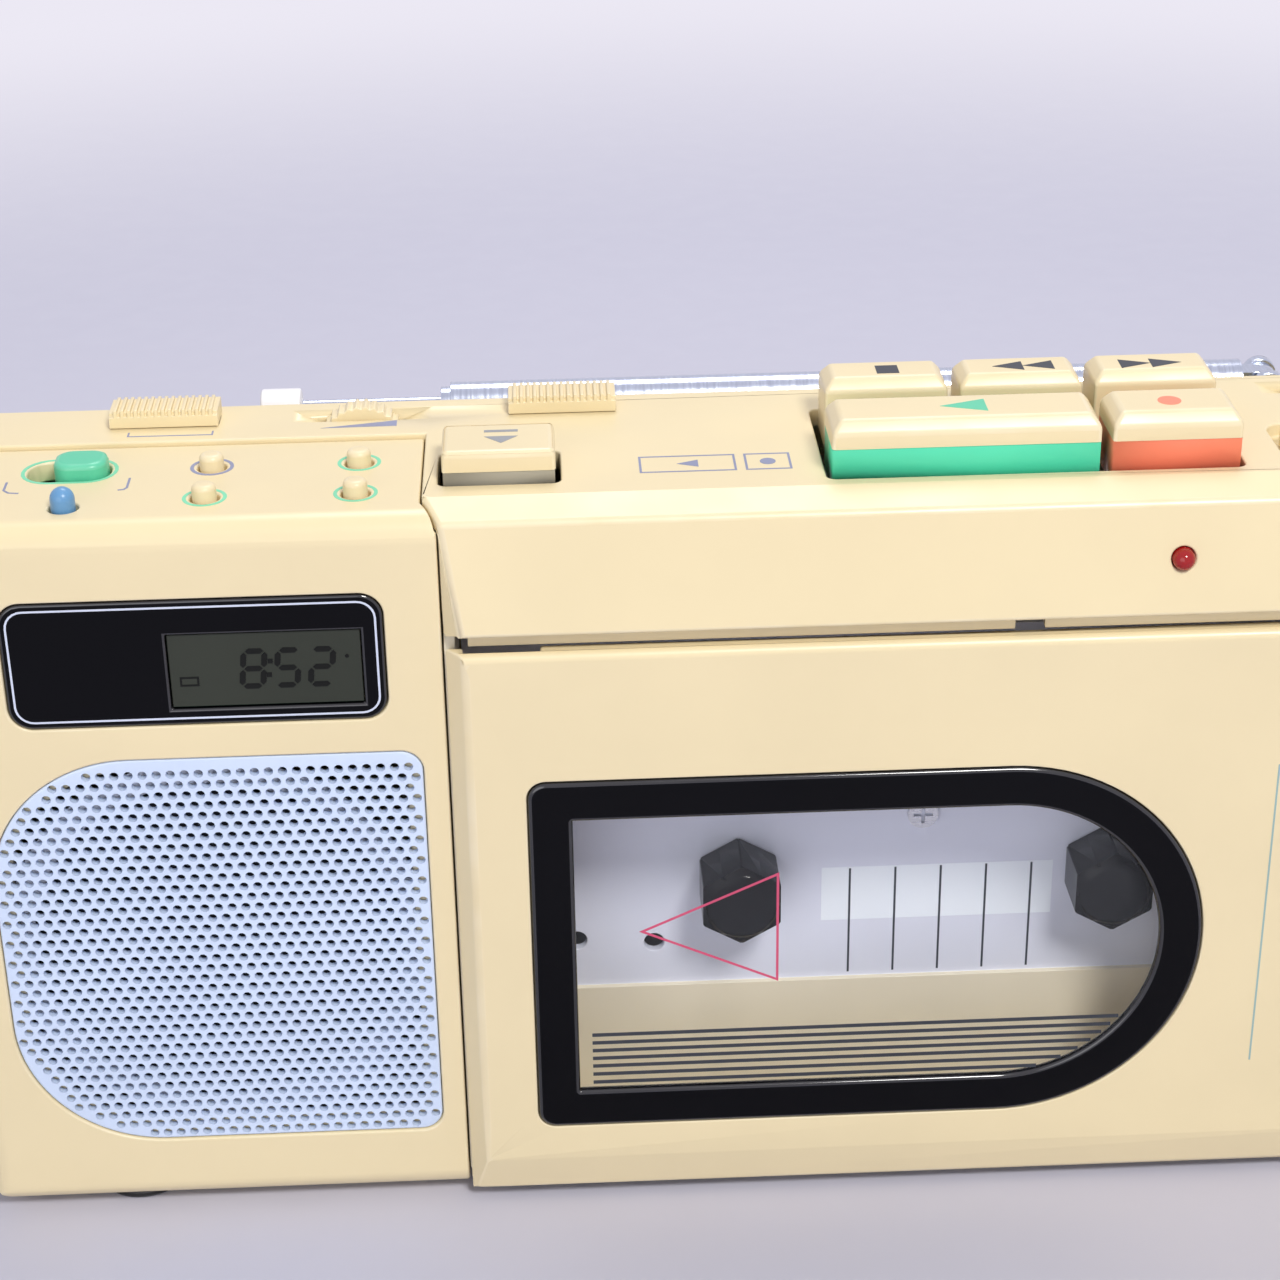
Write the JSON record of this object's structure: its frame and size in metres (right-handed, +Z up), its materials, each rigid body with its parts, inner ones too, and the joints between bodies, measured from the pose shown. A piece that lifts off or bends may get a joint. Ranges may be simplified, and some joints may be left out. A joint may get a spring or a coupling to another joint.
{
  "type": "radio cassette recorder",
  "caption": "Compact cream radio cassette recorder with a clock: drop-front cassette door, speaker and tuning modules at the ends, sprung tape keys on top and a folding telescopic aerial.",
  "frame": {"origin": "on the supporting surface under the middle of the set's width and depth", "axes": "+X to the right seen from the front, +Y to the back, +Z up"},
  "size_m": [0.218, 0.045, 0.093],
  "materials": {
    "cream_plastic": "warm cream moulding, satin",
    "green_plastic": "mint green moulding",
    "coral_plastic": "coral moulding",
    "grey_plastic": "grey moulding",
    "blue_plastic": "light blue moulding",
    "black_plastic": "gloss black",
    "clear_plastic": "clear acrylic",
    "display_glass": "liquid crystal glass",
    "red_lamp": "red lens",
    "lilac_paint": "pale lilac paint",
    "white_mesh": "white painted perforated sheet",
    "black_rubber": "matt rubber",
    "bright_steel": "plated steel",
    "head_metal": "polished metal",
    "brass_parts": "turned brass",
    "aerial_chrome": "bright chrome",
    "cone_paper": "black paper",
    "board": "green circuit board",
    "board_components": "mixed components",
    "ferrite": "dark ferrite"
  },
  "bodies": {
    "cabinet": {"left_module": "cream_plastic", "right_module": "cream_plastic", "top_deck": "cream_plastic", "rear_cabinet": "cream_plastic", "battery_box": "grey_plastic", "feet": "black_rubber", "cabinet_screws": "bright_steel", "speaker_grille": "white_mesh", "speaker_basket": "bright_steel", "speaker_cone": "cone_paper", "display_panel": "black_plastic", "lcd_glass": "display_glass", "circuit_boards": "board", "board_parts": "board_components", "battery_lamp": "red_lamp", "deck_chassis": "cream_plastic", "hinge_pins": "bright_steel", "deck_plate": "lilac_paint", "drive_belt": "black_rubber", "drive_bracket": "bright_steel", "motor": "bright_steel", "key_plate": "bright_steel", "dial_window": "clear_plastic", "dial_scale": "black_plastic", "ferrite_bar": "ferrite", "side_jacks": "black_plastic"},
    "door": {"cassette_door": "cream_plastic", "window_rim": "black_plastic", "window_lens": "clear_plastic", "cassette_holder": "cream_plastic"},
    "battery_cover": {"battery_door": "cream_plastic"},
    "stop": {"stop_key": "cream_plastic"},
    "rewind": {"rewind_key": "cream_plastic"},
    "forward": {"forward_key": "cream_plastic"},
    "play": {"play_key": "green_plastic"},
    "record": {"record_key": "coral_plastic"},
    "eject": {"eject_key": "grey_plastic"},
    "clock_push": {"clock_button": "cream_plastic"},
    "alarm_push": {"alarm_button": "cream_plastic"},
    "hour_push": {"hour_button": "cream_plastic"},
    "minute_push": {"minute_button": "cream_plastic"},
    "sleep_push": {"sleep_button": "blue_plastic"},
    "timer": {"timer_switch": "green_plastic"},
    "function": {"function_switch": "cream_plastic"},
    "tape": {"tape_switch": "cream_plastic"},
    "band": {"band_switch": "cream_plastic"},
    "volume": {"volume_wheel": "cream_plastic"},
    "tuning": {"tuning_wheel": "cream_plastic"},
    "pointer": {"dial_pointer": "coral_plastic"},
    "supply": {"supply_spindle": "black_plastic"},
    "takeup": {"takeup_spindle": "black_plastic"},
    "capstan": {"flywheel": "brass_parts"},
    "pulley": {"motor_pulley": "brass_parts"},
    "bridge": {"head_bridge": "bright_steel", "tape_heads": "head_metal"},
    "roller": {"pinch_roller": "black_rubber"},
    "aerial_swivel": {"aerial_base": "aerial_chrome"},
    "aerial": {"aerial_tube": "aerial_chrome"},
    "aerial_second": {"aerial_middle": "aerial_chrome"},
    "aerial_third": {"aerial_inner": "aerial_chrome"}
  },
  "joints": [
    {"name": "door_hinge", "type": "hinge", "parent": "cabinet", "child": "door", "pos_m": [0, -0.018, 0.0052], "axis": [1, 0, 0], "range_deg": [0, 28]},
    {"name": "battery_cover_hinge", "type": "hinge", "parent": "cabinet", "child": "battery_cover", "pos_m": [0, 0.02145, 0.00735], "axis": [-1, 0, 0], "range_deg": [0, 75]},
    {"name": "stop_press", "type": "slide", "parent": "cabinet", "child": "stop", "axis": [0, 0, -1], "range_m": [0, 0.0032], "stiffness_N_per_m": 500, "springref_m": -0.0012},
    {"name": "rewind_press", "type": "slide", "parent": "cabinet", "child": "rewind", "axis": [0, 0, -1], "range_m": [0, 0.0032], "stiffness_N_per_m": 500, "springref_m": -0.0012},
    {"name": "forward_press", "type": "slide", "parent": "cabinet", "child": "forward", "axis": [0, 0, -1], "range_m": [0, 0.0032], "stiffness_N_per_m": 500, "springref_m": -0.0012},
    {"name": "play_press", "type": "slide", "parent": "cabinet", "child": "play", "axis": [0, 0, -1], "range_m": [0, 0.0032], "stiffness_N_per_m": 500, "springref_m": -0.0012},
    {"name": "record_press", "type": "slide", "parent": "cabinet", "child": "record", "axis": [0, 0, -1], "range_m": [0, 0.0032], "stiffness_N_per_m": 500, "springref_m": -0.0012},
    {"name": "eject_press", "type": "slide", "parent": "cabinet", "child": "eject", "axis": [0, 0, -1], "range_m": [0, 0.0032], "stiffness_N_per_m": 500, "springref_m": -0.0012},
    {"name": "clock_push_in", "type": "slide", "parent": "cabinet", "child": "clock_push", "axis": [0, 0, -1], "range_m": [0, 0.0006], "stiffness_N_per_m": 1000, "springref_m": -0.0004},
    {"name": "alarm_push_in", "type": "slide", "parent": "cabinet", "child": "alarm_push", "axis": [0, 0, -1], "range_m": [0, 0.0006], "stiffness_N_per_m": 1000, "springref_m": -0.0004},
    {"name": "hour_push_in", "type": "slide", "parent": "cabinet", "child": "hour_push", "axis": [0, 0, -1], "range_m": [0, 0.0006], "stiffness_N_per_m": 1000, "springref_m": -0.0004},
    {"name": "minute_push_in", "type": "slide", "parent": "cabinet", "child": "minute_push", "axis": [0, 0, -1], "range_m": [0, 0.0006], "stiffness_N_per_m": 1000, "springref_m": -0.0004},
    {"name": "sleep_push_in", "type": "slide", "parent": "cabinet", "child": "sleep_push", "axis": [0, 0, -1], "range_m": [0, 0.0006], "stiffness_N_per_m": 1000, "springref_m": -0.0004},
    {"name": "timer_slide", "type": "slide", "parent": "cabinet", "child": "timer", "axis": [-1, 0, 0], "range_m": [0, 0.0027]},
    {"name": "function_slide", "type": "slide", "parent": "cabinet", "child": "function", "axis": [1, 0, 0], "range_m": [0, 0.004]},
    {"name": "tape_slide", "type": "slide", "parent": "cabinet", "child": "tape", "axis": [1, 0, 0], "range_m": [0, 0.004]},
    {"name": "band_slide", "type": "slide", "parent": "cabinet", "child": "band", "axis": [1, 0, 0], "range_m": [0, 0.004]},
    {"name": "volume_turn", "type": "hinge", "parent": "cabinet", "child": "volume", "pos_m": [-0.0622, 0.0078, 0.0835], "axis": [0, 1, 0], "range_deg": [-135, 135]},
    {"name": "tuning_turn", "type": "hinge", "parent": "cabinet", "child": "tuning", "pos_m": [0.0467, 0.0078, 0.0835], "axis": [0, 1, 0], "range_deg": [-150, 150]},
    {"name": "pointer_slide", "type": "slide", "parent": "cabinet", "child": "pointer", "axis": [0, 0, 1], "range_m": [-0.02, 0.02]},
    {"name": "supply_turn", "type": "hinge", "parent": "cabinet", "child": "supply", "pos_m": [-0.02125, -0.008, 0.0352], "axis": [0, 1, 0], "continuous": true},
    {"name": "takeup_turn", "type": "hinge", "parent": "cabinet", "child": "takeup", "pos_m": [0.02125, -0.008, 0.0352], "axis": [0, 1, 0], "continuous": true},
    {"name": "capstan_turn", "type": "hinge", "parent": "cabinet", "child": "capstan", "pos_m": [-0.033, -0.0042, 0.0595], "axis": [0, 1, 0], "continuous": true},
    {"name": "pulley_turn", "type": "hinge", "parent": "cabinet", "child": "pulley", "pos_m": [0.028, -0.002, 0.0555], "axis": [0, 1, 0], "continuous": true},
    {"name": "bridge_slide", "type": "slide", "parent": "cabinet", "child": "bridge", "axis": [0, 0, -1], "range_m": [0, 0.009]},
    {"name": "roller_turn", "type": "hinge", "parent": "bridge", "child": "roller", "pos_m": [-0.033, -0.012, 0.076], "axis": [0, 1, 0], "continuous": true},
    {"name": "aerial_turn", "type": "hinge", "parent": "cabinet", "child": "aerial_swivel", "pos_m": [0.042, 0.01715, 0.081], "axis": [0, 0, 1], "range_deg": [-90, 0]},
    {"name": "aerial_tilt", "type": "hinge", "parent": "aerial_swivel", "child": "aerial", "pos_m": [0.042, 0.01715, 0.0846], "axis": [0, 1, 0], "range_deg": [0, 90]},
    {"name": "aerial_pull", "type": "slide", "parent": "aerial", "child": "aerial_second", "axis": [-1, 0, 0], "range_m": [0, 0.075]},
    {"name": "aerial_tip_pull", "type": "slide", "parent": "aerial_second", "child": "aerial_third", "axis": [-1, 0, 0], "range_m": [0, 0.075]}
  ],
  "couplings": [
    {"joint": "pointer_slide", "follows": "tuning_turn", "m_per_rad": 0.0076394},
    {"joint": "pulley_turn", "follows": "capstan_turn", "ratio": 3.558},
    {"joint": "bridge_slide", "follows": "play_press", "ratio": 2.8125}
  ]
}
